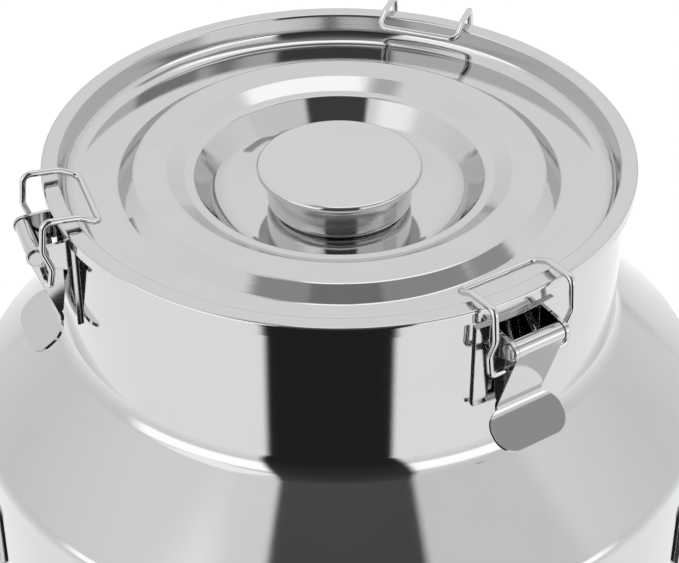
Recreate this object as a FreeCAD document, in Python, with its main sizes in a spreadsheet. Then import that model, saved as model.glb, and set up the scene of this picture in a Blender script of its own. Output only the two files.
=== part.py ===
import FreeCAD, Part
import math
import os
import Sketcher
from FreeCAD import Placement, Rotation, Vector

# A stainless steel milk can of about thirty litres. The lid drops into the
# mouth and three wire toggle latches on the neck pull it down.
# Millimetres. +Z is up, the origin is the centre of the floor face of the
# foot ring, and the two carrying handles stand out along +X and -X.

os.makedirs("parts", exist_ok=True)
doc = FreeCAD.newDocument("MilkCan")

# ---------------------------------------------------------------- dimensions
DIMENSIONS = [
    # the can
    ("can_height", 450.0, "floor to the top of the lid flange"),
    ("body_radius", 164.0, "outside of the barrel"),
    ("body_sheet", 1.5, "sheet of barrel, shoulder and neck"),
    ("corner_drop", 116.6, "lid flange down to the shoulder corner"),
    ("skirt_height", 8.4, "straight skirt of the shoulder pressing"),
    ("corner_bend", 4.0, "rounding of the shoulder corner"),
    ("neck_radius", 120.8, "outside of the neck"),
    ("neck_drop", 73.4, "lid flange down to the root of the neck"),
    ("neck_bend", 8.0, "hollow rounding at the root of the neck"),
    ("mouth_height", 3.2, "ring that stiffens the mouth"),
    ("mouth_overhang", 2.6, "how far it stands out of the neck"),
    # the base
    ("base_sheet", 1.5, "sheet of the base pan"),
    ("base_rim", 20.0, "upturned rim of the base pan"),
    ("base_lift", 16.0, "floor to the lowest face of the base pan"),
    ("base_crown", 6.0, "rise of the pan at its centre"),
    ("base_flat", 22.0, "flat border of the pan"),
    ("base_bend", 9.0, "rounding of the pan's edge"),
    ("foot_sheet", 2.0, "sheet of the foot ring"),
    ("foot_height", 30.0, "height of the foot ring"),
    ("foot_tread", 9.0, "width of the face it stands on"),
    ("foot_bend", 3.0, "rounding of its lower edge"),
    # the lid
    ("lid_sheet", 1.0, "sheet of the lid"),
    ("hem_height", 5.5, "turned-down hem of the lid"),
    ("hem_gap", 0.6, "mouth ring to hem"),
    ("plug_gap", 0.5, "plug wall to neck"),
    ("plug_lean", 1.8, "how far the plug wall leans in"),
    ("plate_drop", 12.4, "flange down to the flat of the lid"),
    ("plate_width", 22.0, "flat of the lid"),
    ("slope_width", 7.3, "outer slope of the raised ring"),
    ("crown_width", 13.6, "top of the raised ring"),
    ("crown_drop", 6.7, "flange down to the raised ring"),
    ("fall_width", 7.5, "inner slope of the raised ring"),
    ("lip_width", 3.8, "lip round the bowl"),
    ("lip_drop", 10.7, "flange down to the lip"),
    ("bowl_lean", 10.6, "how far the bowl wall leans in"),
    ("bowl_drop", 26.5, "flange down to the bowl floor"),
    ("bowl_bend", 14.0, "rounding at the bowl floor"),
    ("press_bend", 1.2, "tight bends of the flange and lip"),
    ("plug_bend", 6.0, "rounding at the foot of the plug wall"),
    ("soft_bend", 2.6, "easy bends of the raised ring"),
    ("gasket_height", 1.8, "silicone ring under the flange"),
    ("seat_gap", 0.2, "gasket to mouth ring"),
    # the lid knob
    ("knob_radius", 35.2, "rolled rim of the knob"),
    ("knob_drop", 6.7, "flange down to the top of the knob"),
    ("knob_roll", 3.8, "height of the rolled rim"),
    ("knob_plate", 1.6, "sheet of the knob's top"),
    ("rim_overhang", 4.2, "rolled rim out past the drum"),
    ("rim_wall", 2.6, "width of the rolled rim"),
    ("knob_sheet", 1.2, "sheet of the drum"),
    # the carrying handles
    ("handle_thickness", 12.0, "diameter of the bar"),
    ("handle_span", 112.0, "between the bar's two legs"),
    ("handle_reach", 46.0, "barrel to the middle of the grip"),
    ("handle_rise", 14.0, "how far the grip stands above the legs"),
    ("handle_bend", 22.0, "bends of the bar"),
    ("handle_drop", 42.0, "shoulder corner down to the legs"),
    ("pad_sheet", 2.0, "weld pads"),
    ("pad_size", 34.0, "width and height of a pad"),
    ("pad_round", 6.0, "corners of a pad"),
    # the toggle latches
    ("bracket_sheet", 1.5, "sheet of the bracket on the neck"),
    ("bracket_drop", 11.0, "flange down to the bracket"),
    ("bracket_height", 38.0, "height of the bracket"),
    ("ear_wall", 2.2, "metal round the pin in an ear"),
    ("ear_height", 15.0, "height of an ear at the neck"),
    ("ear_sink", 2.0, "how far an ear's blank runs into the neck before trimming"),
    ("bracket_wing", 6.0, "base plate out past each ear"),
    ("pivot_out", 13.2, "neck out to the lever pivot"),
    ("pivot_drop", 16.0, "flange down to the lever pivot"),
    ("pin_radius", 1.9, "lever pin"),
    ("pin_play", 0.08, "running clearance on radius"),
    ("head_radius", 3.2, "the pin's heads"),
    ("head_height", 1.1, "height of the pin's heads"),
    ("roll_wall", 1.7, "rolled barrel round the pin"),
    ("lever_sheet", 1.5, "sheet of the lever"),
    ("lever_width", 22.0, "across the lever's cheeks"),
    ("side_gap", 0.35, "lever to bracket ear"),
    ("cheek_wall", 2.2, "metal round the wire in a cheek"),
    ("cheek_gap", 0.9, "closed cheeks to the bracket's base plate"),
    ("cheek_foot", 4.0, "bottom of the cheeks above the fold"),
    ("fold_out", 4.6, "neck out to the fold of the lever"),
    ("fold_drop", 51.0, "flange down to the fold"),
    ("fold_bend", 5.0, "bend of the fold"),
    ("thumb_out", 19.2, "neck out to the end of the thumb tab"),
    ("thumb_drop", 62.4, "flange down to the end of the tab"),
    ("thumb_width", 34.0, "across the thumb tab"),
    ("thumb_round", 8.4, "round ends of the tab"),
    ("wire_radius", 1.4, "wire of the loop"),
    ("wire_play", 0.08, "running clearance of the wire ends"),
    ("loop_width", 37.0, "between the loop's two legs"),
    ("loop_bend", 3.4, "corners of the loop"),
    ("leg_bend", 7.0, "easy bends of its legs and arms"),
    ("end_bend", 2.4, "where the legs turn in to the cheeks"),
    ("hinge_back", 3.7, "lever pivot in to the wire ends"),
    ("hinge_down", 11.5, "lever pivot down to the wire ends"),
    ("flange_clear", 1.6, "wire above the flange"),
    ("bar_reach", 17.0, "lid edge in to the loop's bar"),
    ("arm_fall", 4.2, "arms down to the bar"),
    ("leg_low", 9.8, "flange down to where the legs turn in"),
    ("leg_rise", 8.4, "wire ends up to the lower bend of the legs"),
    ("leg_out", 7.2, "lid edge out to the loop's legs"),
]

# Azimuth of each latch about +Z, in degrees from +X.
LATCHES = {"rear": 70.5, "left": 199.5, "right": 304.0}

sheet = doc.addObject("Spreadsheet::Sheet", "Dims")
for row, (alias, value, meaning) in enumerate(DIMENSIONS, start=1):
    sheet.set(f"A{row}", alias)
    sheet.set(f"B{row}", str(value))
    sheet.set(f"C{row}", meaning)
    sheet.setAlias(f"B{row}", alias)
doc.recompute()


def size(alias):
    """The value of one driving dimension."""
    return float(sheet.get(alias))


Z_AXIS = Vector(0, 0, 1)
node_objects = []


def keep(obj, label):
    """Give a sub-part the label that names its file."""
    obj.Label = label
    node_objects.append(obj)
    return obj


# ------------------------------------------------------- PartDesign sub-parts
def origin_plane(body, role):
    """One of a body's own origin planes."""
    return next(f for f in body.Origin.OriginFeatures if f.Role == role)


def ring_body(label, inner, outer, low, tall):
    """A turned ring: a rectangle in the XZ plane revolved about Z."""
    body = doc.addObject("PartDesign::Body", f"{label}_body")
    sketch = body.newObject("Sketcher::SketchObject", f"{label}_section")
    sketch.AttachmentSupport = [(origin_plane(body, "XZ_Plane"), "")]
    sketch.MapMode = "FlatFace"
    near, far = 10.0, 20.0  # a first place, which the constraints below replace
    corners = [Vector(near, near), Vector(far, near), Vector(far, far), Vector(near, far)]
    sides = range(len(corners))
    for start in sides:
        finish = corners[(start + 1) % len(corners)]
        sketch.addGeometry(Part.LineSegment(corners[start], finish), False)
    for side in sides:
        following = (side + 1) % len(corners)
        sketch.addConstraint(Sketcher.Constraint("Coincident", side, 2, following, 1))
    for side, kind in enumerate(["Horizontal", "Vertical", "Horizontal", "Vertical"]):
        sketch.addConstraint(Sketcher.Constraint(kind, side))
    bound = [
        ("inner", Sketcher.Constraint("DistanceX", -1, 1, 0, 1, near), inner),
        ("outer", Sketcher.Constraint("DistanceX", -1, 1, 1, 1, far), outer),
        ("low", Sketcher.Constraint("DistanceY", -1, 1, 0, 1, near), low),
        ("tall", Sketcher.Constraint("DistanceY", 1, 1, 1, 2, far - near), tall),
    ]
    for name, constraint, expression in bound:
        index = sketch.addConstraint(constraint)
        sketch.renameConstraint(index, name)
        sketch.setExpression(f"Constraints.{name}", expression)
    turn = body.newObject("PartDesign::Revolution", f"{label}_turn")
    turn.Profile = sketch
    turn.ReferenceAxis = (sketch, ["V_Axis"])
    turn.Angle = 360.0
    body.Tip = turn
    return keep(body, label)


def disc_body(label, radius, low, tall, edge):
    """A round plate with both edges of its rim rounded."""
    body = doc.addObject("PartDesign::Body", f"{label}_body")
    disc = body.newObject("PartDesign::AdditiveCylinder", f"{label}_disc")
    disc.setExpression("Radius", radius)
    disc.setExpression("Height", tall)
    disc.setExpression("AttachmentOffset.Base.z", low)
    disc.AttachmentSupport = [(origin_plane(body, "XY_Plane"), "")]
    disc.MapMode = "FlatFace"
    doc.recompute()
    rims = [
        f"Edge{i}"
        for i, e in enumerate(disc.Shape.Edges, start=1)
        if isinstance(e.Curve, Part.Circle)
    ]
    rolled = body.newObject("PartDesign::Fillet", f"{label}_roll")
    rolled.Base = (disc, rims)
    rolled.setExpression("Radius", edge)
    body.Tip = rolled
    return keep(body, label)


def knob_cap():
    """The knob's top: a plate with a rolled rim, hollow underneath."""
    body = disc_body(
        "knob_cap",
        "Dims.knob_radius",
        "Dims.can_height - Dims.knob_drop - Dims.knob_roll",
        "Dims.knob_roll",
        "Dims.knob_roll * 0.49",
    )
    hollow = body.newObject("PartDesign::SubtractiveCylinder", "knob_cap_hollow")
    hollow.setExpression("Radius", "Dims.knob_radius - Dims.rim_wall")
    hollow.setExpression("Height", "Dims.knob_roll - Dims.knob_plate")
    hollow.setExpression("AttachmentOffset.Base.z",
                         "Dims.can_height - Dims.knob_drop - Dims.knob_roll")
    hollow.AttachmentSupport = [(origin_plane(body, "XY_Plane"), "")]
    hollow.MapMode = "FlatFace"
    body.Tip = hollow


# -------------------------------------------------------- pressed sheet parts
def rounded_path(points, bends):
    """Straight runs through the points, joined by tangent arcs.

    bends gives one radius for each inner point.
    """
    corners = []
    for before, corner, after, radius in zip(points, points[1:], points[2:], bends):
        back = (before - corner).normalize()
        ahead = (after - corner).normalize()
        half_turn = (math.pi - back.getAngle(ahead)) / 2
        reach = radius * math.tan(half_turn)
        middle = (back + ahead).normalize()
        inset = radius / math.cos(half_turn) - radius
        corners.append((corner + back * reach, corner + middle * inset, corner + ahead * reach))
    edges = []
    start = points[0]
    for entry, crest, leave in corners:
        edges.append(Part.LineSegment(start, entry).toShape())
        edges.append(Part.Arc(entry, crest, leave).toShape())
        start = leave
    edges.append(Part.LineSegment(start, points[-1]).toShape())
    return Part.Wire(edges)


def sheet_section(outline, bends, thickness):
    """The section of a pressed sheet in the XZ plane.

    outline holds (x, z) pairs of the outside face, and the sheet lies on the
    left hand of the direction of travel.
    """
    face_line = rounded_path([Vector(x, 0, z) for x, z in outline], bends)
    inner = []
    for index, (x, z) in enumerate(outline):
        turn_in = direction(outline, max(index - 1, 0))
        turn_out = direction(outline, min(index, len(outline) - 2))
        left = ((turn_in[0] + turn_out[0]) / 2, (turn_in[1] + turn_out[1]) / 2)
        grow = thickness / (left[0] ** 2 + left[1] ** 2)
        inner.append((x - left[1] * grow, z + left[0] * grow))
    inner_bends = []
    for index, bend in enumerate(bends, start=1):
        first = direction(outline, index - 1)
        second = direction(outline, index)
        turns_left = first[0] * second[1] - first[1] * second[0] > 0
        inner_bends.append(max(bend - thickness, 0.1) if turns_left else bend + thickness)
    back_line = rounded_path([Vector(x, 0, z) for x, z in inner], inner_bends)
    ends = [
        Part.LineSegment(Vector(x0, 0, z0), Vector(x1, 0, z1)).toShape()
        for (x0, z0), (x1, z1) in [(outline[0], inner[0]), (outline[-1], inner[-1])]
    ]
    edges = Part.sortEdges(face_line.Edges + back_line.Edges + ends)[0]
    return Part.Face(Part.Wire(edges))


def direction(outline, index):
    """Unit direction of one run of an outline."""
    (x0, z0), (x1, z1) = outline[index], outline[index + 1]
    length = math.hypot(x1 - x0, z1 - z0)
    return ((x1 - x0) / length, (z1 - z0) / length)


def feature(label, shape, placement=None):
    """A sub-part whose shape comes from Part's own functions."""
    obj = doc.addObject("Part::Feature", f"{label}_shape")
    obj.Shape = shape
    obj.Placement = placement or Placement()
    return keep(obj, label)


def turned(face):
    """Revolve a section about the can's axis."""
    return face.revolve(Vector(0, 0, 0), Z_AXIS, 360)


def prism(points, low, high):
    """A flat plate in XZ through the points, from y = low to y = high."""
    corners = [Vector(x, low, z) for x, z in points]
    face = Part.Face(Part.makePolygon(corners + corners[:1]))
    return face.extrude(Vector(0, high - low, 0))


# ---------------------------------------------------------------- base lines
TOP = size("can_height")
BODY_R = size("body_radius")
BODY_T = size("body_sheet")
NECK_R = size("neck_radius")
LID_T = size("lid_sheet")
FOOT_T = size("foot_sheet")
CORNER_Z = TOP - size("corner_drop")
LID_R = NECK_R + size("mouth_overhang") + size("hem_gap") + LID_T
PLUG_R = NECK_R - BODY_T - size("plug_gap") - LID_T
MOUTH_Z = TOP - LID_T - size("gasket_height") - size("seat_gap") - size("mouth_height")

# ------------------------------------------------------------------ can body
ring_body(
    "body_barrel",
    "Dims.body_radius - Dims.body_sheet",
    "Dims.body_radius",
    "Dims.foot_bend",
    "Dims.can_height - Dims.corner_drop - Dims.skirt_height - Dims.foot_bend",
)

shoulder_line = [
    (BODY_R, CORNER_Z - size("skirt_height")),
    (BODY_R, CORNER_Z),
    (NECK_R, TOP - size("neck_drop")),
    (NECK_R, MOUTH_Z),
]
shoulder_bends = [size("corner_bend"), size("neck_bend")]
feature("shoulder_neck", turned(sheet_section(shoulder_line, shoulder_bends, BODY_T)))

ring_body(
    "mouth_ring",
    "Dims.neck_radius - Dims.body_sheet",
    "Dims.neck_radius + Dims.mouth_overhang",
    "Dims.can_height - Dims.lid_sheet - Dims.gasket_height - Dims.seat_gap - Dims.mouth_height",
    "Dims.mouth_height",
)

PAN_R = BODY_R - BODY_T
PAN_Z = size("base_lift")
pan_line = [
    (0, PAN_Z + size("base_crown")),
    (PAN_R - size("base_flat"), PAN_Z),
    (PAN_R, PAN_Z),
    (PAN_R, PAN_Z + size("base_rim")),
]
pan_bends = [PAN_R / 2, size("base_bend")]
feature("base_pan", turned(sheet_section(pan_line, pan_bends, size("base_sheet"))))

FOOT_R = BODY_R + FOOT_T
foot_line = [(FOOT_R - size("foot_tread"), 0), (FOOT_R, 0), (FOOT_R, size("foot_height"))]
feature("foot_ring", turned(sheet_section(foot_line, [size("foot_bend")], FOOT_T)))


# ---------------------------------------------------------- carrying handles
def handle_grip():
    """A round bar bent to a flat U, its legs butting on the weld pads."""
    half = size("handle_span") / 2
    legs_z = CORNER_Z - size("handle_drop")
    grip_x = BODY_R + size("handle_reach")
    grip_z = legs_z + size("handle_rise")
    root_x = math.sqrt(BODY_R ** 2 - half ** 2) - size("handle_thickness")
    route = [
        Vector(root_x, -half, legs_z),
        Vector(grip_x, -half, grip_z),
        Vector(grip_x, half, grip_z),
        Vector(root_x, half, legs_z),
    ]
    path = rounded_path(route, [size("handle_bend")] * 2)
    bar = round_bar(path, size("handle_thickness") / 2)
    pad_face = Part.makeCylinder(BODY_R + size("pad_sheet"), TOP)
    return max(bar.cut(pad_face).Solids, key=lambda solid: solid.Volume)


def handle_pads():
    """Two rounded plates rolled to the barrel, one under each leg."""
    side = size("pad_size")
    outer = BODY_R + size("pad_sheet")
    legs_z = CORNER_Z - size("handle_drop")
    blank = Part.makeBox(side, side, side, Vector(BODY_R - side / 2, -side / 2, legs_z - side / 2))
    along = [e for e in blank.Edges if abs(e.tangentAt(e.FirstParameter).x) > 0.9]
    blank = blank.makeFillet(size("pad_round"), along)
    shell = Part.makeCylinder(outer, TOP).cut(Part.makeCylinder(BODY_R, TOP))
    pad = blank.common(shell)
    lean = math.degrees(math.asin(size("handle_span") / 2 / outer))
    pads = []
    for turn in (-lean, lean):
        turned_pad = pad.copy()
        turned_pad.rotate(Vector(0, 0, 0), Z_AXIS, turn)
        pads.append(turned_pad)
    return Part.makeCompound(pads)


def round_bar(path, radius):
    """A round bar along a path."""
    start = path.Edges[0]
    tangent = start.tangentAt(start.FirstParameter)
    circle = Part.Circle(start.valueAt(start.FirstParameter), tangent, radius)
    section = Part.Wire(circle.toShape())
    return path.makePipeShell([section], True, True)


for side, azimuth in {"right": 0, "left": 180}.items():
    place = Placement(Vector(0, 0, 0), Rotation(Z_AXIS, azimuth))
    feature(f"handle_bar_{side}", handle_grip(), place)
    feature(f"handle_pads_{side}", handle_pads(), place)

# ------------------------------------------------------------------- the lid
PLATE_R = PLUG_R - size("plug_lean")
SLOPE_R = PLATE_R - size("plate_width")
CROWN_R = SLOPE_R - size("slope_width")
FALL_R = CROWN_R - size("crown_width")
LIP_R = FALL_R - size("fall_width")
BOWL_R = LIP_R - size("lip_width")
lid_line = [
    (LID_R, TOP - size("hem_height")),
    (LID_R, TOP),
    (PLUG_R, TOP),
    (PLATE_R, TOP - size("plate_drop")),
    (SLOPE_R, TOP - size("plate_drop")),
    (CROWN_R, TOP - size("crown_drop")),
    (FALL_R, TOP - size("crown_drop")),
    (LIP_R, TOP - size("lip_drop")),
    (BOWL_R, TOP - size("lip_drop")),
    (BOWL_R - size("bowl_lean"), TOP - size("bowl_drop")),
    (0, TOP - size("bowl_drop")),
]
tight, soft = size("press_bend"), size("soft_bend")
lid_bends = [tight, tight, size("plug_bend"), soft, soft, soft, tight, tight, size("bowl_bend")]
feature("lid_pressing", turned(sheet_section(lid_line, lid_bends, LID_T)))

ring_body(
    "lid_gasket",
    "Dims.neck_radius - Dims.body_sheet",
    "Dims.neck_radius + Dims.mouth_overhang",
    "Dims.can_height - Dims.lid_sheet - Dims.gasket_height",
    "Dims.gasket_height",
)

ring_body(
    "knob_drum",
    "Dims.knob_radius - Dims.rim_overhang - Dims.knob_sheet",
    "Dims.knob_radius - Dims.rim_overhang",
    "Dims.can_height - Dims.bowl_drop",
    "Dims.bowl_drop - Dims.knob_drop - Dims.knob_plate",
)

knob_cap()


# --------------------------------------------------------- the toggle latches
# A latch is drawn at azimuth 0, where x is the distance from the can's axis
# and y runs round the neck, and then turned to its place.
PIVOT_X = NECK_R + size("pivot_out")
PIVOT_Z = TOP - size("pivot_drop")
HINGE_X = PIVOT_X - size("hinge_back")
HINGE_Z = PIVOT_Z - size("hinge_down")
HALF_LEVER = size("lever_width") / 2
EAR_IN = HALF_LEVER + size("side_gap")
EAR_OUT = EAR_IN + size("bracket_sheet")
BORE_R = size("pin_radius") + size("pin_play")
ROLL_R = BORE_R + size("roll_wall")


def cross_bar(radius, x, z, low, high):
    """A cylinder along y."""
    return Part.makeCylinder(radius, high - low, Vector(x, low, z), Vector(0, 1, 0))


def latch_bracket():
    """A channel rolled to the neck, with an ear at each side of the lever."""
    plate_low = TOP - size("bracket_drop") - size("bracket_height")
    rolled = Part.makeCylinder(NECK_R + size("bracket_sheet"), TOP)
    half_base = EAR_OUT + size("bracket_wing")
    block = Part.makeBox(NECK_R, 2 * half_base, size("bracket_height"),
                         Vector(NECK_R / 2, -half_base, plate_low))
    channel = block.common(rolled)
    ear_r = size("pin_radius") + size("ear_wall")
    root_top = TOP - size("bracket_drop")
    root_x = NECK_R - size("ear_sink")
    outline = [
        (root_x, root_top),
        (PIVOT_X, PIVOT_Z + ear_r),
        (PIVOT_X, PIVOT_Z - ear_r),
        (root_x, root_top - size("ear_height")),
    ]
    for low in (-EAR_OUT, EAR_IN):
        ear = prism(outline, low, low + size("bracket_sheet"))
        tip = cross_bar(ear_r, PIVOT_X, PIVOT_Z, low, low + size("bracket_sheet"))
        channel = channel.fuse([ear, tip])
    pin_hole = cross_bar(size("pin_radius"), PIVOT_X, PIVOT_Z, -EAR_OUT, EAR_OUT)
    neck = Part.makeCylinder(NECK_R, TOP)
    return channel.cut([pin_hole, neck]).removeSplitter()


def latch_pin():
    """A rivet through both ears and the rolled end of the lever."""
    reach = EAR_OUT + size("head_height")
    pin = cross_bar(size("pin_radius"), PIVOT_X, PIVOT_Z, -reach, reach)
    for low, high in ((-reach, -EAR_OUT), (EAR_OUT, reach)):
        pin = pin.fuse(cross_bar(size("head_radius"), PIVOT_X, PIVOT_Z, low, high))
    return pin.removeSplitter()


def plate_x(z, depth):
    """Where the lever's flat lies at a height, depth inside its face."""
    fold_x, fold_z = NECK_R + size("fold_out"), TOP - size("fold_drop")
    share = (z - fold_z) / (PIVOT_Z - fold_z)
    return fold_x + share * (PIVOT_X + ROLL_R - fold_x) - depth


def tab_blank(fold, end):
    """The thumb tab seen square on: a plate with round ends, from fold to end."""
    slope = end - fold
    half = size("thumb_width") / 2
    deep = size("lever_width")
    blank = Part.makeBox(deep, 2 * half, slope.Length, Vector(-deep / 2, -half, 0))
    across = [e for e in blank.Edges if abs(e.tangentAt(e.FirstParameter).x) > 0.9]
    blank = blank.makeFillet(min(size("thumb_round"), slope.Length * 0.49), across)
    blank.Placement = Placement(fold, Rotation(Z_AXIS, slope))
    return blank


def latch_lever():
    """A pressed lever: rolled barrel, flat, two cheeks and a thumb tab."""
    thick = size("lever_sheet")
    fold_z = TOP - size("fold_drop")
    fold = Vector(plate_x(fold_z, 0), 0, fold_z)
    end = Vector(NECK_R + size("thumb_out"), 0, TOP - size("thumb_drop"))
    flat_line = [(end.x, end.z), (fold.x, fold.z), (plate_x(PIVOT_Z, 0), PIVOT_Z)]
    section = sheet_section(flat_line, [size("fold_bend")], thick)
    half_tab = size("thumb_width") / 2
    section.translate(Vector(0, -half_tab, 0))
    sheet_bar = section.extrude(Vector(0, 2 * half_tab, 0))
    beyond = 2 * thick
    tab = sheet_bar.common(tab_blank(fold, end))
    flat = sheet_bar.common(
        Part.makeBox(BODY_R, 2 * HALF_LEVER, PIVOT_Z - fold_z + beyond,
                     Vector(NECK_R, -HALF_LEVER, fold_z - beyond)))
    roll = cross_bar(ROLL_R, PIVOT_X, PIVOT_Z, -HALF_LEVER, HALF_LEVER)
    wire_bore = size("wire_radius") + size("wire_play")
    eye = wire_bore + size("cheek_wall")
    cheek_x = NECK_R + size("bracket_sheet") + size("cheek_gap")
    foot_z = fold_z + size("cheek_foot")
    cheek_line = [
        (plate_x(PIVOT_Z, thick / 2), PIVOT_Z),
        (plate_x(foot_z, thick / 2), foot_z),
        (cheek_x + thick, foot_z + thick),
        (cheek_x, HINGE_Z - 2 * eye),
        (cheek_x, HINGE_Z + eye),
        (PIVOT_X - ROLL_R / 2, PIVOT_Z),
    ]
    pieces = [tab, roll]
    for low in (-HALF_LEVER, HALF_LEVER - thick):
        pieces.append(prism(cheek_line, low, low + thick))
    lever = flat.fuse(pieces)
    bore = cross_bar(BORE_R, PIVOT_X, PIVOT_Z, -HALF_LEVER, HALF_LEVER)
    eyes = cross_bar(wire_bore, HINGE_X, HINGE_Z, -HALF_LEVER, HALF_LEVER)
    return lever.cut([bore, eyes]).removeSplitter()


def latch_loop():
    """One wire bent to a bail: ends in the cheeks, bar inside the lid edge."""
    radius = size("wire_radius")
    arm_z = TOP + size("flange_clear") + radius
    bar_z = arm_z - size("arm_fall")
    leg_x = LID_R + size("leg_out")
    bar_x = LID_R - size("bar_reach")
    end_y = HALF_LEVER - size("lever_sheet") + size("wire_play")
    leg_y = size("loop_width") / 2
    side = [
        Vector(HINGE_X, end_y, HINGE_Z),
        Vector(HINGE_X, leg_y, HINGE_Z),
        Vector(HINGE_X - radius, leg_y, HINGE_Z + size("leg_rise")),
        Vector(leg_x, leg_y, TOP - size("leg_low")),
        Vector(leg_x - radius, leg_y, arm_z + radius / 2),
        Vector(PLUG_R - radius, leg_y, arm_z),
        Vector(bar_x, leg_y, bar_z),
    ]
    mirrored = [Vector(point.x, -point.y, point.z) for point in reversed(side)]
    tight_bend, easy_bend, bar_bend = size("end_bend"), size("leg_bend"), size("loop_bend")
    bends = [tight_bend, easy_bend, easy_bend, bar_bend, easy_bend, bar_bend]
    path = rounded_path(side + mirrored, bends + bends[::-1])
    return round_bar(path, radius)


for side, azimuth in LATCHES.items():
    place = Placement(Vector(0, 0, 0), Rotation(Z_AXIS, azimuth))
    feature(f"latch_{side}_bracket", latch_bracket(), place)
    feature(f"latch_{side}_pin", latch_pin(), place)
    feature(f"latch_{side}_lever", latch_lever(), place)
    feature(f"latch_{side}_loop", latch_loop(), place)

# ------------------------------------------------------------ check and write
doc.recompute()
for obj in doc.Objects:
    if {"Invalid", "Error"} & set(obj.State):
        raise RuntimeError(f"{obj.Name} did not recompute: {obj.State}")
for node in node_objects:
    if node.Shape.isNull() or not node.Shape.isValid():
        raise RuntimeError(f"{node.Label} has no valid shape")
    node.Shape.exportStep(f"parts/{node.Label}.step")
    volume = node.Shape.Volume / 1000
    print(f"{node.Label:24s} {len(node.Shape.Solids)} solid(s) {volume:9.2f} cm3")
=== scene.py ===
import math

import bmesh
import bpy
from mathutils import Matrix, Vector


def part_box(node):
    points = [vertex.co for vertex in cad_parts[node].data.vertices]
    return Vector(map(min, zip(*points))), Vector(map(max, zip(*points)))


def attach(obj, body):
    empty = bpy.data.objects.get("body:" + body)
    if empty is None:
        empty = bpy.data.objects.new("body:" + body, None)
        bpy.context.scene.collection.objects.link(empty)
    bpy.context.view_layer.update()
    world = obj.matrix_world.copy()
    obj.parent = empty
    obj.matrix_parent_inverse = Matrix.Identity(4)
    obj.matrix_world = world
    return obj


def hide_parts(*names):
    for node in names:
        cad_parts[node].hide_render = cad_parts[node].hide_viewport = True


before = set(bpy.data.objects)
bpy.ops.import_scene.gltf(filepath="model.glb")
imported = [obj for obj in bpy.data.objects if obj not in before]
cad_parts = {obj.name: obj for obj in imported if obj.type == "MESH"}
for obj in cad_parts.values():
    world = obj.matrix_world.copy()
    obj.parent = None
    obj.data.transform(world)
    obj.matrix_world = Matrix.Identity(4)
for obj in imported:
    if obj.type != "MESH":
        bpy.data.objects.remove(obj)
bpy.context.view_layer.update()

# %% [markdown]
# # A milk can in polished stainless steel
#
# The can is sheet steel from top to bottom. A dairy works spins and presses
# the sheets, welds them and polishes the welds away, and then hangs three wire
# toggle latches on the neck to pull the lid down on its gasket. Nearly all of
# it is turned round one upright axis, so most pieces here are made the way a
# spinner makes them. The latches and handles are bent or folded; of them only
# the wire loops are bent here, and the rest are kept as imported.

# %% [markdown]
# ## Sizes
#
# The imported model is the authority on size, so the main radii and heights are
# read from its boxes. Sheet gauges and the steps pressed into the lid are
# named here in metres, because a box can't give them.

# %% Main sizes, read from the frame
MM = 0.001
lid_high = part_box("lid_pressing")[1]
neck_low, neck_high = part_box("shoulder_neck")
barrel_low, barrel_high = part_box("body_barrel")
ring_low, ring_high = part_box("mouth_ring")
foot_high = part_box("foot_ring")[1]
pan_low, pan_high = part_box("base_pan")
cap_low, cap_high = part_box("knob_cap")
drum_low, drum_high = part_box("knob_drum")

TOP = lid_high.z
LID_R = lid_high.x
BODY_R = neck_high.x
SHEET = 1.5 * MM
LID_SHEET = 1.0 * MM
MOUTH_OVERHANG = 2.6 * MM
NECK_R = ring_high.x - MOUTH_OVERHANG
PLUG_GAP = 0.5 * MM
PLUG_R = NECK_R - SHEET - PLUG_GAP - LID_SHEET
SEGMENTS = 256
print(f"lid radius {LID_R / MM:.1f} mm, neck {NECK_R / MM:.1f} mm, body {BODY_R / MM:.1f} mm")

# %% [markdown]
# ## Working by hand, from a script
#
# Blender's operators act on whatever is selected, so each step first clears
# the selection and then picks its edges or faces by where they are. These few
# helpers are that picking, and nothing more.


# %% Selecting by place
def deselect():
    """Leave object mode with nothing selected."""
    if bpy.context.object and bpy.context.object.mode != "OBJECT":
        bpy.ops.object.mode_set(mode="OBJECT")
    bpy.ops.object.select_all(action="DESELECT")


def started(name):
    """Name the primitive that was just added and bake its place in its mesh."""
    piece = bpy.context.active_object
    piece.name = name
    piece.data.name = name
    bpy.ops.object.transform_apply(location=True, rotation=True, scale=True)
    return piece


def pick(piece, kind, wanted):
    """In edit mode, select the vertices, edges or faces whose middle is wanted."""
    bpy.ops.mesh.select_mode(type=kind)
    bpy.ops.mesh.select_all(action="DESELECT")
    mesh = bmesh.from_edit_mesh(piece.data)
    parts = {"VERT": mesh.verts, "EDGE": mesh.edges, "FACE": mesh.faces}[kind]
    for part in parts:
        corners = [part] if kind == "VERT" else part.verts
        if all(wanted(corner.co) for corner in corners):
            part.select_set(True)
    mesh.select_flush_mode()
    bmesh.update_edit_mesh(piece.data)


def near(value, target, slack=0.02 * MM):
    """True when two lengths agree to a fiftieth of a millimetre."""
    return abs(value - target) < slack


# %% [markdown]
# ## Spinning a sheet
#
# A spinner presses a flat disc over a wooden form, ring by ring. The same
# thing works in edit mode: a circle is extruded and scaled from one corner of
# the section to the next, each corner ring is bevelled to its bend radius, and
# a Solidify modifier gives the sheet its gauge. A screw modifier on a drawn
# profile would be shorter, but bends would then have to be drawn point by
# point. The weighted normals at the end keep flats dead flat in reflections,
# which matters more on mirror steel than on anything else.


# %% The spinning helper
def bend_offset(before, corner, after, radius):
    """How far back along each run a bend of this radius starts."""
    back = Vector(before) - Vector(corner)
    ahead = Vector(after) - Vector(corner)
    half_turn = (math.pi - back.angle(ahead)) / 2
    return radius * math.tan(half_turn)


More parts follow.
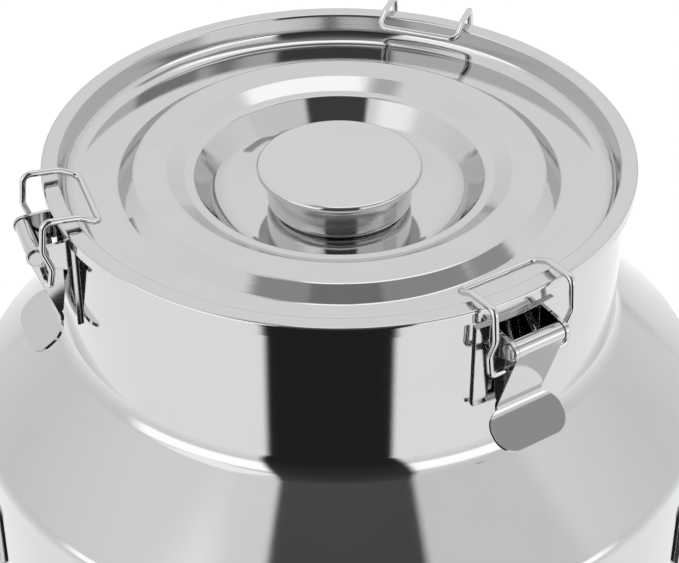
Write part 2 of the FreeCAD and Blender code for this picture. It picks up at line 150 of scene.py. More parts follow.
def spun(name, section, bends, gauge=0.0, rounds=6, closed_centre=False, segments=SEGMENTS):
    """A turned sheet: a circle raised ring by ring through (radius, height) corners.

    The gauge is laid on the left of the direction of travel.
    """
    deselect()
    radius, height = section[0]
    bpy.ops.mesh.primitive_circle_add(vertices=segments, radius=radius, location=(0, 0, height))
    piece = started(name)
    bpy.ops.object.mode_set(mode="EDIT")
    for (r_from, z_from), (r_to, z_to) in zip(section, section[1:]):
        bpy.ops.mesh.extrude_region_move(TRANSFORM_OT_translate={"value": (0, 0, z_to - z_from)})
        ratio = r_to / r_from
        bpy.ops.transform.resize(value=(ratio, ratio, 1), center_override=(0, 0, 0))
    if closed_centre:
        bpy.ops.mesh.edge_face_add()
    for index, bend in enumerate(bends, start=1):
        if bend <= 0:
            continue
        r_at, z_at = section[index]
        back = bend_offset(section[index - 1], section[index], section[index + 1], bend)
        pick(piece, "EDGE", lambda co: near(co.xy.length, r_at) and near(co.z, z_at))
        bpy.ops.mesh.bevel(offset=back, segments=rounds, profile=0.5, affect="EDGES")
    bpy.ops.mesh.select_all(action="SELECT")
    bpy.ops.mesh.normals_make_consistent(inside=False)
    face_right(piece, section)
    bpy.ops.object.mode_set(mode="OBJECT")
    if gauge:
        wall = piece.modifiers.new("gauge", "SOLIDIFY")
        wall.thickness = gauge
        wall.offset = -1
        wall.use_even_offset = True
    polish_normals(piece)
    return piece


def face_right(piece, section):
    """Turn all faces so that they look to the right of the direction of travel."""
    (r0, z0), (r1, z1) = section[0], section[1]
    wanted = Vector((z1 - z0, r0 - r1)).normalized()
    mesh = bmesh.from_edit_mesh(piece.data)
    middle_r, middle_z = (r0 + r1) / 2, (z0 + z1) / 2
    first = min(
        mesh.faces,
        key=lambda f: math.hypot(f.calc_center_median().xy.length - middle_r,
                                 f.calc_center_median().z - middle_z),
    )
    centre = first.calc_center_median()
    outward = first.normal.xy.dot(centre.xy.normalized())
    if Vector((outward, first.normal.z)).dot(wanted) < 0:
        bpy.ops.mesh.flip_normals()


def polish_normals(piece, angle=40.0):
    """Smooth shading, sharp past the angle, with face-weighted normals."""
    deselect()
    piece.select_set(True)
    bpy.context.view_layer.objects.active = piece
    for modifier in list(piece.modifiers):
        bpy.ops.object.modifier_apply(modifier=modifier.name)
    bpy.ops.object.shade_smooth_by_angle(angle=math.radians(angle))
    weights = piece.modifiers.new("weights", "WEIGHTED_NORMAL")
    weights.keep_sharp = True
    weights.weight = 80
    bpy.ops.object.modifier_apply(modifier=weights.name)


# %% [markdown]
# ## The lid
#
# The lid is one pressing. Its edge is hemmed down over the mouth, a plug wall
# drops inside the neck, and the flat carries a raised ring that stiffens it
# round a deep bowl for the knob. It is spun from the hem to the centre, with
# the visible face on the right and the gauge on the left.

# %% Spin the lid
HEM_DROP = 5.5 * MM
PLATE_Z = TOP - 12.4 * MM
CROWN_Z = TOP - 6.7 * MM
LIP_Z = TOP - 10.7 * MM
BOWL_Z = TOP - 26.5 * MM
plate_r = PLUG_R - 1.8 * MM
slope_r = plate_r - 22.0 * MM
crown_r = slope_r - 7.3 * MM
fall_r = crown_r - 13.6 * MM
lip_r = fall_r - 7.5 * MM
bowl_r = lip_r - 3.8 * MM
floor_r = bowl_r - 10.6 * MM
lid_section = [
    (LID_R, TOP - HEM_DROP),
    (LID_R, TOP),
    (PLUG_R, TOP),
    (plate_r, PLATE_Z),
    (slope_r, PLATE_Z),
    (crown_r, CROWN_Z),
    (fall_r, CROWN_Z),
    (lip_r, LIP_Z),
    (bowl_r, LIP_Z),
    (floor_r, BOWL_Z),
    (floor_r / 4, BOWL_Z),
]
HEM_BEND, PLUG_FOOT_BEND, RING_BEND, BOWL_BEND = 1.2, 6.0, 2.6, 14.0
lid_bends = [HEM_BEND] * 2 + [PLUG_FOOT_BEND] + [RING_BEND] * 3 + [HEM_BEND] * 2 + [BOWL_BEND]
bend_radii = [bend * MM for bend in lid_bends]
lid = spun("lid", lid_section, bend_radii, LID_SHEET, rounds=10, closed_centre=True)
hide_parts("lid_pressing")
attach(lid, "lid")
print("lid faces", len(lid.data.polygons))

# %% [markdown]
# ## Neck, shoulder and barrel
#
# The neck and shoulder are drawn in one piece, with a hollow root and a soft
# corner, and a short skirt that is welded to the barrel. The two bends are what
# carries the bright lines round the can, so they get more rounds than the rest.

# %% Spin the neck and the barrel
corner_z = TOP - 116.6 * MM
root_z = TOP - 73.4 * MM
neck_section = [
    (BODY_R, neck_low.z),
    (BODY_R, corner_z),
    (NECK_R, root_z),
    (NECK_R, neck_high.z),
]
CORNER_BEND, ROOT_BEND = 8.0 * MM, 13.0 * MM
neck = spun("neck_and_shoulder", neck_section, [CORNER_BEND, ROOT_BEND], SHEET, rounds=12)
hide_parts("shoulder_neck")
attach(neck, "can")

barrel_section = [(BODY_R, barrel_low.z), (BODY_R, barrel_high.z)]
barrel = spun("barrel", barrel_section, [], SHEET)
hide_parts("body_barrel")
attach(barrel, "can")
print("neck faces", len(neck.data.polygons))

# %% [markdown]
# ## The mouth ring and its gasket
#
# The neck ends in a solid ring welded round the mouth, which keeps it round
# when the can is dropped. A silicone ring under the lid's flange seals on it.
# Both are short closed rings: four corners spun round the axis.

# %% Spin the two rings
gasket_low, gasket_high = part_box("lid_gasket")
for name, node, body, slot_name, low, high, corner in [
    ("mouth_bead", "mouth_ring", "can", "can_steel", ring_low, ring_high, 0.9 * MM),
    ("lid_seal", "lid_gasket", "lid", "silicone", gasket_low, gasket_high, 0.5 * MM),
]:
    outer = high.x
    inner = NECK_R - SHEET
    section = [(inner, low.z), (outer, low.z), (outer, high.z), (inner, high.z)]
    ring = spun(name, section, [corner, corner], rounds=5)
    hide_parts(node)
    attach(ring, body)

# %% [markdown]
# ## The knob
#
# The knob is a short drum with a curled foot, spot welded to the floor of the
# bowl, and a flat cap with a full round rolled rim, which is what the fingers
# hook under. The drum could be a plain cylinder, but its curled foot throws
# the dark line that makes it read as a separate piece. A bend as large as its
# run would close the run up, so both are nearly that large and no more.

# %% Spin the knob
drum_r = drum_high.x
curl = 4.5 * MM
KNOB_SHEET = 1.2 * MM
NEARLY = 0.98
drum_section = [(drum_r - curl, drum_low.z), (drum_r, drum_low.z), (drum_r, drum_high.z)]
drum = spun("knob_barrel", drum_section, [curl * NEARLY], KNOB_SHEET, rounds=8, segments=128)
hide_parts("knob_drum")
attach(drum, "lid")

cap_r = cap_high.x
roll_r = (cap_high.z - cap_low.z) / 2
cap_section = [
    (drum_r, cap_low.z),
    (cap_r, cap_low.z),
    (cap_r, cap_high.z),
    (cap_r / 4, cap_high.z),
]
cap_bends = [roll_r * NEARLY] * 2
cap = spun("knob_top", cap_section, cap_bends, rounds=10, closed_centre=True, segments=192)
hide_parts("knob_cap")
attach(cap, "lid")

# %% [markdown]
# ## Base pan and foot ring
#
# The floor of the can is a shallow crowned pan whose rim is welded inside the
# barrel. Below it a heavier ring takes the knocks and lifts the pan off the
# ground, so it has a turned-in tread and a soft lower edge.

# %% Spin the base
PAN_FLAT, PAN_BEND = 22.0 * MM, 9.0 * MM
PAN_CROWN, PAN_CENTRE = 4.0 * MM, 5.5 * MM
pan_r = BODY_R - SHEET
pan_section = [
    (pan_r, pan_high.z),
    (pan_r, pan_low.z),
    (pan_r - PAN_FLAT, pan_low.z),
    (pan_r / 3, pan_low.z + PAN_CROWN),
    (pan_r / 12, pan_low.z + PAN_CENTRE),
]
pan_bends = [PAN_BEND, 0, 0]
pan = spun("bottom_pan", pan_section, pan_bends, rounds=8, closed_centre=True)
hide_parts("base_pan")
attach(pan, "can")

TREAD, FOOT_BEND, FOOT_SHEET = 9.0 * MM, 3.0 * MM, 2.0 * MM
foot_r = foot_high.x
foot_section = [(foot_r - TREAD, 0.0), (foot_r, 0.0), (foot_r, foot_high.z)]
foot = spun("foot_band", foot_section, [FOOT_BEND], FOOT_SHEET, rounds=6)
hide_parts("foot_ring")
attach(foot, "can")

# %% [markdown]
# ## Bending wire
#
# A loop is one length of spring wire bent on pegs. In edit mode a small circle
# is extruded along each straight and spun round each peg, which leaves even
# rings at every bend. A bevelled curve would be quicker, but its rings bunch
# up on the inside of a tight bend, and a mirror finish shows that.


# %% The wire bending helper
def bent(name, route, radii, wire_r, around=20, per_bend=8):
    """A wire through the points of a route, with one bend radius for each inner point."""
    deselect()
    start, heading = route[0], (route[1] - route[0]).normalized()
    turn = heading.to_track_quat("Z", "Y").to_euler()
    bpy.ops.mesh.primitive_circle_add(vertices=around, radius=wire_r, location=start, rotation=turn)
    piece = started(name)
    bpy.ops.object.mode_set(mode="EDIT")
    bpy.ops.mesh.select_all(action="SELECT")
    at = start
    for corner, after, radius in zip(route[1:], route[2:], radii):
        ahead = (after - corner).normalized()
        angle = heading.angle(ahead)
        reach = radius * math.tan(angle / 2)
        step = corner - heading * reach - at
        bpy.ops.mesh.extrude_region_move(TRANSFORM_OT_translate={"value": step})
        to_peg = (ahead - heading * heading.dot(ahead)).normalized()
        peg = at + step + to_peg * radius
        bpy.ops.mesh.spin(steps=per_bend, angle=angle, center=peg, axis=ahead.cross(heading))
        at = corner + ahead * reach
        heading = ahead
    bpy.ops.mesh.extrude_region_move(TRANSFORM_OT_translate={"value": route[-1] - at})
    bpy.ops.mesh.select_all(action="SELECT")
    bpy.ops.mesh.remove_doubles(threshold=0.001 * MM)
    bpy.ops.mesh.fill_holes(sides=0)
    bpy.ops.mesh.select_all(action="SELECT")
    bpy.ops.mesh.normals_make_consistent(inside=False)
    bpy.ops.object.mode_set(mode="OBJECT")
    bpy.ops.object.shade_smooth_by_angle(angle=math.radians(50))
    return piece


# %% [markdown]
# ## The three wire loops
#
# Each loop's ends turn into the lever's cheeks. Its legs rise outside the lid,
# its arms pass over the flange, and its bar drops into the channel behind it.
# All three are the same wire, so they are bent from one list of points that is
# turned to each latch's place round the neck.

# %% Bend the loops
WIRE_R = 1.4 * MM
hinge_x, hinge_z = NECK_R + 9.5 * MM, TOP - 27.5 * MM
arm_z = TOP + 1.6 * MM + WIRE_R
leg_x = LID_R + 7.2 * MM
half_loop = 18.5 * MM
end_y = 9.58 * MM
bar_x, bar_drop = LID_R - 17.0 * MM, 4.2 * MM
loop_side = [
    Vector((hinge_x, end_y, hinge_z)),
    Vector((hinge_x, half_loop, hinge_z)),
    Vector((hinge_x - WIRE_R, half_loop, hinge_z + 8.4 * MM)),
    Vector((leg_x, half_loop, TOP - 9.8 * MM)),
    Vector((leg_x - WIRE_R, half_loop, arm_z + WIRE_R / 2)),
    Vector((PLUG_R - WIRE_R, half_loop, arm_z)),
    Vector((bar_x, half_loop, arm_z - bar_drop)),
]
loop_points = loop_side + [Vector((p.x, -p.y, p.z)) for p in reversed(loop_side)]
side_bends = [2.4, 7.0, 7.0, 3.4, 7.0, 3.4]
loop_bends = [b * MM for b in side_bends + side_bends[::-1]]
LATCHES = ["rear", "left", "right"]
azimuths = {}
for side in LATCHES:
    pin_low, pin_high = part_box(f"latch_{side}_pin")
    middle = (pin_low + pin_high) / 2
    azimuths[side] = math.atan2(middle.y, middle.x)
    turn = Matrix.Rotation(azimuths[side], 3, "Z")
    loop = bent(f"wire_loop_{side}", [turn @ p for p in loop_points], loop_bends, WIRE_R)
    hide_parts(f"latch_{side}_loop")
    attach(loop, f"loop_{side}")
print("latches at", {side: round(math.degrees(a), 1) for side, a in azimuths.items()})

# %% [markdown]
# ## Weld beads on the handles
#
# Each leg of a handle is fillet welded to its pad. The beads are left as laid,
# because they carry the weight of a full can. A plain torus round each leg, at
# the face of the pad, is enough.

# %% Lay the beads
LEG_R = 6.0 * MM
PAD_SHEET = 2.0 * MM
BEAD_OUT, BEAD_UP = 0.6 * MM, 1.2 * MM
for side, sign in {"right": 1, "left": -1}.items():
    bar_low, bar_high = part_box(f"handle_bar_{side}")
    legs_y = bar_high.y - LEG_R
    face_x = math.sqrt((BODY_R + PAD_SHEET) ** 2 - legs_y ** 2)
    legs_z = bar_low.z + LEG_R
    for end in (-1, 1):
        deselect()
        bpy.ops.mesh.primitive_torus_add(
            major_radius=LEG_R + 0.5 * MM,
            minor_radius=1.5 * MM,
            major_segments=64,
            minor_segments=14,
            location=(sign * (face_x + BEAD_OUT), end * legs_y, legs_z + BEAD_UP),
            rotation=(0, math.pi / 2, 0),
        )
        bead = started(f"weld_bead_{side}_{'back' if end > 0 else 'front'}")
        bpy.ops.object.shade_smooth()
        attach(bead, "can")

# %% [markdown]
# ## Shared effects
#
# Polished steel is never quite flat and never quite clean. Three effects are
# shared by every finish, so each is a node group: the soft waves that buffing
# leaves, the rings that spinning leaves, and the marks of handling. A group
# gives only a colour, a mask or a normal, and the shader stays in its material.


# %% Node group helpers
def new_group(name, inputs, outputs):
    """A shader node group with float or vector inputs and named outputs."""
    group = bpy.data.node_groups.new(name, "ShaderNodeTree")
    for label, kind, value in inputs:
        socket = group.interface.new_socket(label, in_out="INPUT", socket_type=kind)
        if value is not None:
            socket.default_value = value
    for label, kind in outputs:
        group.interface.new_socket(label, in_out="OUTPUT", socket_type=kind)
    return group, group.nodes.new("NodeGroupInput"), group.nodes.new("NodeGroupOutput")


def add(tree, kind, **settings):
    """A node with its settings, where a key with a capital sets an input."""
    node = tree.nodes.new(kind)
    for key, value in settings.items():
        if key[0].isupper():
            node.inputs[key.replace("_", " ")].default_value = value
        else:
            setattr(node, key, value)
    return node


def maths(tree, operation, first, second=None, third=None, clamp=False):
    """A Math node on sockets or numbers."""
    node = add(tree, "ShaderNodeMath", operation=operation, use_clamp=clamp)
    for index, value in enumerate((first, second, third)):
        if value is None:
            continue
        if isinstance(value, (int, float)):
            node.inputs[index].default_value = value
        else:
            tree.links.new(value, node.inputs[index])
    return node.outputs[0]


def ranged(tree, value, low, high, to_low, to_high, kind="LINEAR"):
    """A Map Range node on a socket."""
    node = add(tree, "ShaderNodeMapRange", interpolation_type=kind, clamp=True)
    tree.links.new(value, node.inputs["Value"])
    labels = ("From Min", "From Max", "To Min", "To Max")
    for label, number in zip(labels, (low, high, to_low, to_high)):
        node.inputs[label].default_value = number
    return node.outputs["Result"]


# %% Group: the waves that buffing leaves
buffed, taken, given = new_group(
    "buffed_waves",
    [("Vector", "NodeSocketVector", None), ("Waves", "NodeSocketFloat", 0.05),
     ("Wave Size", "NodeSocketFloat", 16.0), ("Peel", "NodeSocketFloat", 0.01),
     ("Normal", "NodeSocketVector", None)],
    [("Normal", "NodeSocketVector")],
)
slow = add(buffed, "ShaderNodeTexNoise", Detail=1.0, Roughness=0.4)
buffed.links.new(taken.outputs["Vector"], slow.inputs["Vector"])
buffed.links.new(taken.outputs["Wave Size"], slow.inputs["Scale"])
fine = add(buffed, "ShaderNodeTexNoise", Scale=900.0, Detail=2.0)
buffed.links.new(taken.outputs["Vector"], fine.inputs["Vector"])
wave_bump = add(buffed, "ShaderNodeBump", Distance=0.004)
buffed.links.new(slow.outputs["Fac"], wave_bump.inputs["Height"])
buffed.links.new(taken.outputs["Waves"], wave_bump.inputs["Strength"])
buffed.links.new(taken.outputs["Normal"], wave_bump.inputs["Normal"])
peel_bump = add(buffed, "ShaderNodeBump", Distance=0.0002)
buffed.links.new(fine.outputs["Fac"], peel_bump.inputs["Height"])
buffed.links.new(taken.outputs["Peel"], peel_bump.inputs["Strength"])
buffed.links.new(wave_bump.outputs["Normal"], peel_bump.inputs["Normal"])
buffed.links.new(peel_bump.outputs["Normal"], given.inputs["Normal"])

# %% Group: the rings that spinning leaves
lathed, taken, given = new_group(
    "spun_rings",
    [("Vector", "NodeSocketVector", None), ("Rings", "NodeSocketFloat", 2200.0)],
    [("Mask", "NodeSocketFloat")],
)
apart = add(lathed, "ShaderNodeSeparateXYZ")
lathed.links.new(taken.outputs["Vector"], apart.inputs["Vector"])
squares = maths(lathed, "ADD", maths(lathed, "POWER", apart.outputs["X"], 2.0),
                maths(lathed, "POWER", apart.outputs["Y"], 2.0))
along = maths(lathed, "ADD", maths(lathed, "SQRT", squares), apart.outputs["Z"])
rings = add(lathed, "ShaderNodeTexNoise", noise_dimensions="1D", Scale=1.0, Detail=3.0)
lathed.links.new(maths(lathed, "MULTIPLY", along, taken.outputs["Rings"]), rings.inputs["W"])
lathed.links.new(ranged(lathed, rings.outputs["Fac"], 0.35, 0.65, 0.0, 1.0), given.inputs["Mask"])

# %% Group: the marks of handling
handled, taken, given = new_group(
    "handling_marks",
    [("Vector", "NodeSocketVector", None), ("Scale", "NodeSocketFloat", 22.0)],
    [("Smudge", "NodeSocketFloat"), ("Scratch", "NodeSocketFloat")],
)
cloud = add(handled, "ShaderNodeTexNoise", Detail=5.0, Roughness=0.6, Distortion=0.6)
handled.links.new(taken.outputs["Vector"], cloud.inputs["Vector"])
handled.links.new(taken.outputs["Scale"], cloud.inputs["Scale"])
handled.links.new(ranged(handled, cloud.outputs["Fac"], 0.52, 0.7, 0.0, 1.0, "SMOOTHSTEP"),
                  given.inputs["Smudge"])
cells = add(handled, "ShaderNodeTexVoronoi", feature="DISTANCE_TO_EDGE", Scale=42.0)
stretched = add(handled, "ShaderNodeMapping", Scale=(0.35, 1.6, 0.8), Rotation=(0.3, 0.5, 0.9))
handled.links.new(taken.outputs["Vector"], stretched.inputs["Vector"])
handled.links.new(stretched.outputs["Vector"], cells.inputs["Vector"])
hairline = ranged(handled, cells.outputs["Distance"], 0.0, 0.006, 1.0, 0.0)
broken = maths(handled, "MULTIPLY", hairline, cloud.outputs["Fac"])
handled.links.new(broken, given.inputs["Scratch"])

# %% [markdown]
# ## Finishes
#
# Every piece is the same grade of stainless steel except the seal, and only
# the way it was worked differs: the can is mirror buffed, the lid shows its
# spinning, the base is scuffed by floors, the handles are drawn bar, the
# latches are stamped and tumbled and the loops are bright spring wire.


# %% A steel finish
def steel(name, tint=0.62, shine=0.05, waves=0.05, wave_size=16.0, ring_depth=0.0,
          smudge=0.04, scratch=0.03, edge=0.0):
    """A worked stainless steel, polished to a shine of the given roughness."""
    material = bpy.data.materials.new(name)
    material.use_nodes = True
    tree = material.node_tree
    shader = tree.nodes["Principled BSDF"]
    shader.inputs["Metallic"].default_value = 1.0
    place = add(tree, "ShaderNodeTexCoord")
    waviness = add(tree, "ShaderNodeGroup", node_tree=buffed)
    waviness.inputs["Waves"].default_value = waves
    waviness.inputs["Wave Size"].default_value = wave_size
    turned = add(tree, "ShaderNodeGroup", node_tree=lathed)
    marks = add(tree, "ShaderNodeGroup", node_tree=handled)
    for node in (waviness, turned, marks):
        tree.links.new(place.outputs["Object"], node.inputs["Vector"])
    if edge:
        eased = add(tree, "ShaderNodeBevel", samples=6, Radius=edge)
        tree.links.new(eased.outputs["Normal"], waviness.inputs["Normal"])
    else:
        facing = add(tree, "ShaderNodeNewGeometry")
        tree.links.new(facing.outputs["Normal"], waviness.inputs["Normal"])
    if ring_depth:
        grooves = add(tree, "ShaderNodeBump", Distance=0.0002, Strength=ring_depth)
        tree.links.new(turned.outputs["Mask"], grooves.inputs["Height"])
        tree.links.new(waviness.outputs["Normal"], grooves.inputs["Normal"])
        tree.links.new(grooves.outputs["Normal"], shader.inputs["Normal"])
    else:
        tree.links.new(waviness.outputs["Normal"], shader.inputs["Normal"])
    dulled = maths(tree, "MULTIPLY", marks.outputs["Smudge"], smudge)
    scored = maths(tree, "MULTIPLY", marks.outputs["Scratch"], scratch)
    ringed = maths(tree, "MULTIPLY", turned.outputs["Mask"], 0.02)
    worn = maths(tree, "ADD", dulled, scored)
    total = maths(tree, "ADD", worn, maths(tree, "ADD", ringed, shine))
    tree.links.new(total, shader.inputs["Roughness"])
    colour = add(tree, "ShaderNodeMix", data_type="RGBA")
    tree.links.new(marks.outputs["Smudge"], colour.inputs["Factor"])
    colour.inputs["A"].default_value = (tint, tint, tint * 0.995, 1)
    colour.inputs["B"].default_value = (tint * 0.985, tint * 0.983, tint * 0.975, 1)
    tree.links.new(colour.outputs["Result"], shader.inputs["Base Color"])
    return material


def dress(material, *names):
    """Give the named objects one material in every slot."""
    for name in names:
        piece = bpy.data.objects[name]
        piece.data.materials.clear()
        piece.data.materials.append(material)


# %% The finishes of the can and the lid
can_steel = steel("mirror_buffed_can", waves=0.04, wave_size=9.0)
dress(can_steel, "neck_and_shoulder", "barrel", "mouth_bead")
lid_steel = steel("spun_lid", waves=0.03, wave_size=12.0, ring_depth=0.02)
dress(lid_steel, "lid")
knob_steel = steel("turned_knob", tint=0.64, waves=0.02, ring_depth=0.05, shine=0.07)
dress(knob_steel, "knob_barrel", "knob_top")
base_steel = steel("scuffed_base", tint=0.55, shine=0.16, waves=0.08, smudge=0.14, scratch=0.2)
dress(base_steel, "bottom_pan", "foot_band")
handle_steel = steel("drawn_bar", tint=0.6, shine=0.09, waves=0.03, wave_size=30.0, smudge=0.08)
pad_steel = steel("rolled_pad", tint=0.6, shine=0.12, waves=0.05, wave_size=30.0, edge=0.5 * MM)
bead_steel = steel("weld_bead", tint=0.45, shine=0.3, waves=0.5, wave_size=400.0, smudge=0.1)
latch_steel = steel("tumbled_stamping", tint=0.62, shine=0.07, waves=0.03, wave_size=60.0,
                    smudge=0.05, edge=0.35 * MM)
rivet_steel = steel("turned_rivet", tint=0.58, shine=0.1, waves=0.02, edge=0.4 * MM)
wire_steel = steel("bright_spring_wire", tint=0.66, shine=0.04, waves=0.015, wave_size=80.0)
for side in ("right", "left"):
    dress(handle_steel, f"handle_bar_{side}")
    # The bars stay out of the mirrors, where they would ring the neck's sides.
    bpy.data.objects[f"handle_bar_{side}"].visible_glossy = False
    dress(pad_steel, f"handle_pads_{side}")
    dress(bead_steel, f"weld_bead_{side}_back", f"weld_bead_{side}_front")
for side in LATCHES:
    dress(latch_steel, f"latch_{side}_bracket", f"latch_{side}_lever")
    dress(rivet_steel, f"latch_{side}_pin")
    dress(wire_steel, f"wire_loop_{side}")

# %% The seal
silicone = bpy.data.materials.new("milky_silicone")
silicone.use_nodes = True
tree = silicone.node_tree
shader = tree.nodes["Principled BSDF"]
shader.inputs["Subsurface Weight"].default_value = 0.3
shader.inputs["Subsurface Scale"].default_value = 0.002
place = add(tree, "ShaderNodeTexCoord")
marks = add(tree, "ShaderNodeGroup", node_tree=handled)
tree.links.new(place.outputs["Object"], marks.inputs["Vector"])
colour = add(tree, "ShaderNodeMix", data_type="RGBA")
colour.inputs["A"].default_value = (0.78, 0.78, 0.74, 1)
colour.inputs["B"].default_value = (0.66, 0.64, 0.57, 1)
tree.links.new(marks.outputs["Smudge"], colour.inputs["Factor"])
tree.links.new(colour.outputs["Result"], shader.inputs["Base Color"])
rubbed = ranged(tree, marks.outputs["Smudge"], 0.0, 1.0, 0.38, 0.55)
tree.links.new(rubbed, shader.inputs["Roughness"])
dress(silicone, "lid_seal")

# %% [markdown]
# ## The studio
#
# Mirror steel shows only its surroundings, so the light tent does most of the
# work. It could be built of cards and lamps, but a world shader that looks at
# the direction alone is free of noise and of their edges. The tent is white
# cloth with one dark opening in front, where a camera would look in. The
# opening is deep and dark low down and fades out towards the roof, and it draws
# the dark bands that give the neck and the bowl their shape. Panels on the roof
# and belts round the horizon draw the paler and greyer shapes.

# %% Directions in the tent
world = bpy.data.worlds.new("light_tent")
bpy.context.scene.world = world
world.use_nodes = True
tree = world.node_tree
background = tree.nodes["Background"]
way = add(tree, "ShaderNodeTexCoord")
parts = add(tree, "ShaderNodeSeparateXYZ")
tree.links.new(way.outputs["Generated"], parts.inputs["Vector"])
east, north, up = (parts.outputs[axis] for axis in "XYZ")
squared = [maths(tree, "POWER", value, 2.0) for value in (east, north)]
level = maths(tree, "SQRT", maths(tree, "ADD", *squared))
height = maths(tree, "MULTIPLY_ADD", up, 0.5, 0.5)

# %% The opening, which leans to one side and widens towards the roof
LEAN_LOW, LEAN_HIGH = 0.048, -0.03
WIDENING = 1.12
EDGE_INNER, EDGE_OUTER = 0.405, 0.465
lean = ranged(tree, up, -0.3, 0.4, LEAN_LOW, LEAN_HIGH)
sideways = maths(tree, "DIVIDE", maths(tree, "ADD", east, lean), level)
spread = ranged(tree, up, 0.55, 0.8, 1.0, WIDENING)
off_centre = maths(tree, "DIVIDE", maths(tree, "ABSOLUTE", sideways), spread)
opening = ranged(tree, off_centre, EDGE_INNER, EDGE_OUTER, 1.0, 0.0, "SMOOTHSTEP")
in_front = maths(tree, "LESS_THAN", north, 0.0)
opening = maths(tree, "MULTIPLY", opening, in_front)


# %% Ramps, panels and belts
def ramp(stops):
    """Brightness against height, from straight down at 0 to straight up at 1."""
    node = add(tree, "ShaderNodeValToRGB")
    tree.links.new(height, node.inputs["Fac"])
    elements = node.color_ramp.elements
    elements[0].position, elements[1].position = stops[0][0], stops[-1][0]
    for position, value in stops[1:-1]:
        elements.new(position)
    for element, (position, value) in zip(elements, stops):
        element.color = (value, value, value, 1)
    return node.outputs["Color"]


def rising(value, edge, soft):
    """0 below the edge and 1 above it, with a soft step."""
    return ranged(tree, value, edge - soft, edge + soft, 0.0, 1.0, "SMOOTHSTEP")


def falling(value, edge, soft):
    """1 below the edge and 0 above it, with a soft step."""
    return ranged(tree, value, edge - soft, edge + soft, 1.0, 0.0, "SMOOTHSTEP")


def panel(west_edge, east_edge, south_edge, north_edge, soft):
    """A mask for a rectangle on the tent's roof, in roof widths per roof height."""
    roof = maths(tree, "MAXIMUM", up, 0.001)
    across = maths(tree, "DIVIDE", east, roof)
    along = maths(tree, "DIVIDE", north, roof)
    mask = maths(tree, "GREATER_THAN", up, 0.0)
    for edge in (rising(across, west_edge, soft), falling(across, east_edge, soft),
                 rising(along, south_edge, soft), falling(along, north_edge, soft)):
        mask = maths(tree, "MULTIPLY", mask, edge)
    return mask


def belt(low, high, soft, full_at, gone_at):
    """A mask for a belt between two heights, full at one place from front to back."""
    side = ranged(tree, north, full_at, gone_at, 1.0, 0.0, "SMOOTHSTEP")
    between = maths(tree, "MULTIPLY", rising(up, low, soft), falling(up, high, soft))
    return maths(tree, "MULTIPLY", between, side)


def layered(under, over, mask):
    """One brightness over another through a mask."""
    node = add(tree, "ShaderNodeMix", data_type="RGBA")
    tree.links.new(mask, node.inputs["Factor"])
    tree.links.new(under, node.inputs["A"])
    if isinstance(over, float):
        node.inputs["B"].default_value = (over, over, over, 1)
    else:
        tree.links.new(over, node.inputs["B"])
    return node.outputs["Result"]


# %% Hang the tent
CLOTH = [(0.0, 1.1), (0.22, 1.1), (0.45, 0.9), (0.6, 0.85), (0.78, 0.98), (0.9, 0.95), (1.0, 1.0)]
GAP = [(0.0, 0.02), (0.35, 0.02), (0.65, 0.04), (0.82, 0.07), (0.9, 0.11), (0.94, 0.2), (1.0, 0.3)]
ROOF_PANELS = {
    "lamp over the lid": (1.5, (-0.12, 0.63, -0.06, 0.3, 0.04)),
    "bright card, front left": (1.3, (-2.6, -0.8, -2.2, -0.8, 0.15)),
    "dull card, front right": (0.84, (0.35, 2.2, -1.5, -0.42, 0.1)),
    "lamp's stand": (0.6, (-0.28, -0.15, -0.1, 0.3, 0.03)),
    "grey card over the front": (0.36, (-0.55, 0.9, -0.62, -0.06, 0.06)),
    "grey card, right": (0.4, (0.86, 1.44, -0.34, 0.34, 0.05)),
}
BELTS = {
    "seam at the back": (0.42, (-0.13, 0.05, 0.03, 0.86, 0.72)),
    "long lamps in front": (1.6, (-0.1, 0.28, 0.06, -0.3, -0.1)),
}
tent = ramp(CLOTH)
for value, edges in ROOF_PANELS.values():
    tent = layered(tent, value, panel(*edges))
for value, edges in BELTS.values():
    tent = layered(tent, value, belt(*edges))
tent = layered(tent, ramp(GAP), opening)
seen = add(tree, "ShaderNodeLightPath")
shown = add(tree, "ShaderNodeMix", data_type="RGBA")
tree.links.new(seen.outputs["Is Camera Ray"], shown.inputs["Factor"])
tree.links.new(tent, shown.inputs["A"])
shown.inputs["B"].default_value = (1, 1, 1, 1)
tree.links.new(shown.outputs["Result"], background.inputs["Color"])
background.inputs["Strength"].default_value = 1.0
print(len(ROOF_PANELS), "roof panels and", len(BELTS), "belts")

# %% [markdown]
# ## The floor
#
# A matt white board stands in for a studio table. It gives off a little light
# of its own, so that it reads as white as the tent behind it, and it is left
# out of the mirrors, where the tent's own lower half already plays its part.

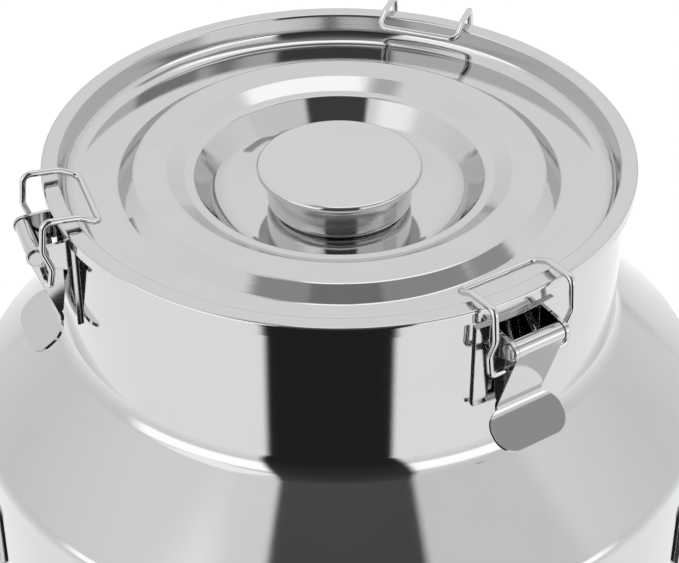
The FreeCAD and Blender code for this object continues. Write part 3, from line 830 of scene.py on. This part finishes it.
# %% Lay the floor
FLOOR_SIZE = 30.0
FLOOR_DROP = 0.5 * MM
FLOOR_GLOW = 0.27
deselect()
bpy.ops.mesh.primitive_plane_add(size=FLOOR_SIZE, location=(0, 0, -FLOOR_DROP))
floor = started("floor")
floor.visible_glossy = False
pale = bpy.data.materials.new("pale_floor")
pale.use_nodes = True
tree = pale.node_tree
shader = tree.nodes["Principled BSDF"]
place = add(tree, "ShaderNodeTexCoord")
grain = add(tree, "ShaderNodeTexNoise", Scale=30.0)
tree.links.new(place.outputs["Object"], grain.inputs["Vector"])
colour = add(tree, "ShaderNodeMix", data_type="RGBA")
colour.inputs["A"].default_value = (0.93, 0.93, 0.93, 1)
colour.inputs["B"].default_value = (0.95, 0.95, 0.95, 1)
tree.links.new(grain.outputs["Fac"], colour.inputs["Factor"])
tree.links.new(colour.outputs["Result"], shader.inputs["Base Color"])
shader.inputs["Roughness"].default_value = 0.9
shader.inputs["Emission Color"].default_value = (1, 1, 1, 1)
shader.inputs["Emission Strength"].default_value = FLOOR_GLOW
floor.data.materials.clear()
floor.data.materials.append(pale)

# %% [markdown]
# ## The camera
#
# The camera looks down on the lid from in front, near enough for the near latch
# to look clearly larger than the far one. The plain Standard view keeps the
# tent's white at full white.

# %% Set the camera
CAMERA_REACH = 0.8367
CAMERA_RISE = math.radians(32.17)
CAMERA_TILT = math.radians(36.0)
camera_data = bpy.data.cameras.new("camera")
camera = bpy.data.objects.new("camera", camera_data)
bpy.context.scene.collection.objects.link(camera)
camera_data.sensor_width = 36.0
camera_data.lens = 105.2
camera_back = CAMERA_REACH * math.cos(CAMERA_RISE)
camera_up = CAMERA_REACH * math.sin(CAMERA_RISE)
camera.location = (0, -camera_back, TOP + camera_up)
camera.rotation_euler = (math.pi / 2 - CAMERA_TILT, 0, 0)
bpy.context.scene.camera = camera
bpy.context.scene.view_settings.view_transform = "Standard"
print("camera", round(camera_back, 3), "m back and", round(camera_up, 3), "m above the lid")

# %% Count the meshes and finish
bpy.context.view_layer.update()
pieces = [o for o in bpy.context.scene.objects if o.type == "MESH"]
print(len(pieces), "meshes,", sum(len(o.data.polygons) for o in pieces), "faces")
